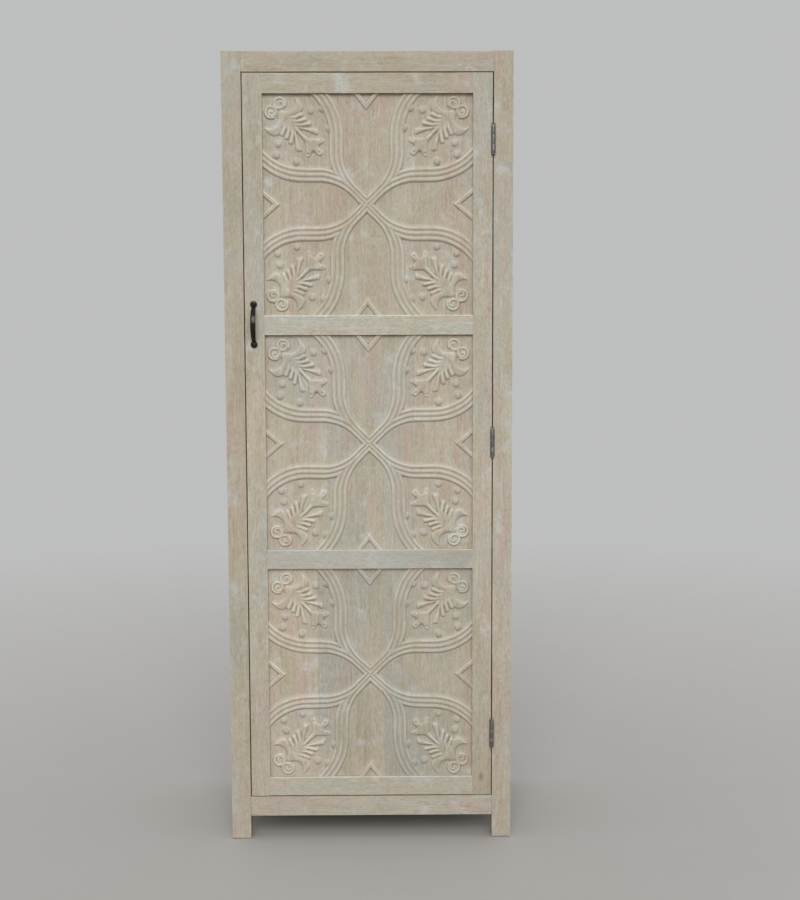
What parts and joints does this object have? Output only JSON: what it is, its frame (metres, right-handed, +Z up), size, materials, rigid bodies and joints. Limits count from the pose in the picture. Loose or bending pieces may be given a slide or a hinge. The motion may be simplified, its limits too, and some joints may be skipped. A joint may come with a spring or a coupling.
{
  "type": "bonnetiere cabinet",
  "caption": "Tall narrow whitewashed wooden cabinet on post feet, with a framed door of carved petal panels, butt hinges, an iron bow pull and shelves inside.",
  "frame": {"origin": "floor level, under the middle of the part's box; the front face of the posts lies at y = -0.1865", "axes": "+Z up, +X to the viewer's right facing the door, +Y to the back"},
  "size_m": [0.65, 0.427, 1.8],
  "materials": {
    "whitewashed_wood": "limed and lightly worn, matte",
    "inner_wood": "thinly limed, matte",
    "hinge_steel": "dull steel",
    "black_iron": "black waxed iron",
    "catch_plastic": "brown moulded",
    "magnet": "dark ferrite",
    "strike_steel": "zinc plated"
  },
  "bodies": {
    "cabinet": {"back_bottom_rail": "whitewashed_wood", "back_left_post": "whitewashed_wood", "back_panel": "inner_wood", "back_right_post": "whitewashed_wood", "back_top_rail": "whitewashed_wood", "bottom_board": "inner_wood", "catch_body": "catch_plastic", "catch_magnet": "magnet", "door_stop": "inner_wood", "front_bottom_rail": "whitewashed_wood", "front_left_post": "whitewashed_wood", "front_right_post": "whitewashed_wood", "front_top_rail": "whitewashed_wood", "left_bottom_rail": "whitewashed_wood", "left_shelf_cleats": "inner_wood", "left_side_panel": "whitewashed_wood", "left_top_rail": "whitewashed_wood", "lower_hinge_pin": "hinge_steel", "lower_hinge_post_leaf": "hinge_steel", "middle_hinge_pin": "hinge_steel", "middle_hinge_post_leaf": "hinge_steel", "right_bottom_rail": "whitewashed_wood", "right_shelf_cleats": "inner_wood", "right_side_panel": "whitewashed_wood", "right_top_rail": "whitewashed_wood", "shelf_1": "inner_wood", "shelf_2": "inner_wood", "shelf_3": "inner_wood", "shelf_4": "inner_wood", "top_board": "whitewashed_wood", "upper_hinge_pin": "hinge_steel", "upper_hinge_post_leaf": "hinge_steel"},
    "door": {"door_bottom_panel": "whitewashed_wood", "door_bottom_rail": "whitewashed_wood", "door_handle": "black_iron", "door_hinge_stile": "whitewashed_wood", "door_latch_stile": "whitewashed_wood", "door_lower_mid_rail": "whitewashed_wood", "door_middle_panel": "whitewashed_wood", "door_top_panel": "whitewashed_wood", "door_top_rail": "whitewashed_wood", "door_upper_mid_rail": "whitewashed_wood", "lower_hinge_door_leaf": "hinge_steel", "middle_hinge_door_leaf": "hinge_steel", "strike_plate": "strike_steel", "upper_hinge_door_leaf": "hinge_steel"}
  },
  "joints": [
    {"name": "door_hinge", "type": "hinge", "parent": "cabinet", "child": "door", "pos_m": [0.28, -0.1885, 0.928], "axis": [0, 0, 1], "range_deg": [0, 175]}
  ]
}
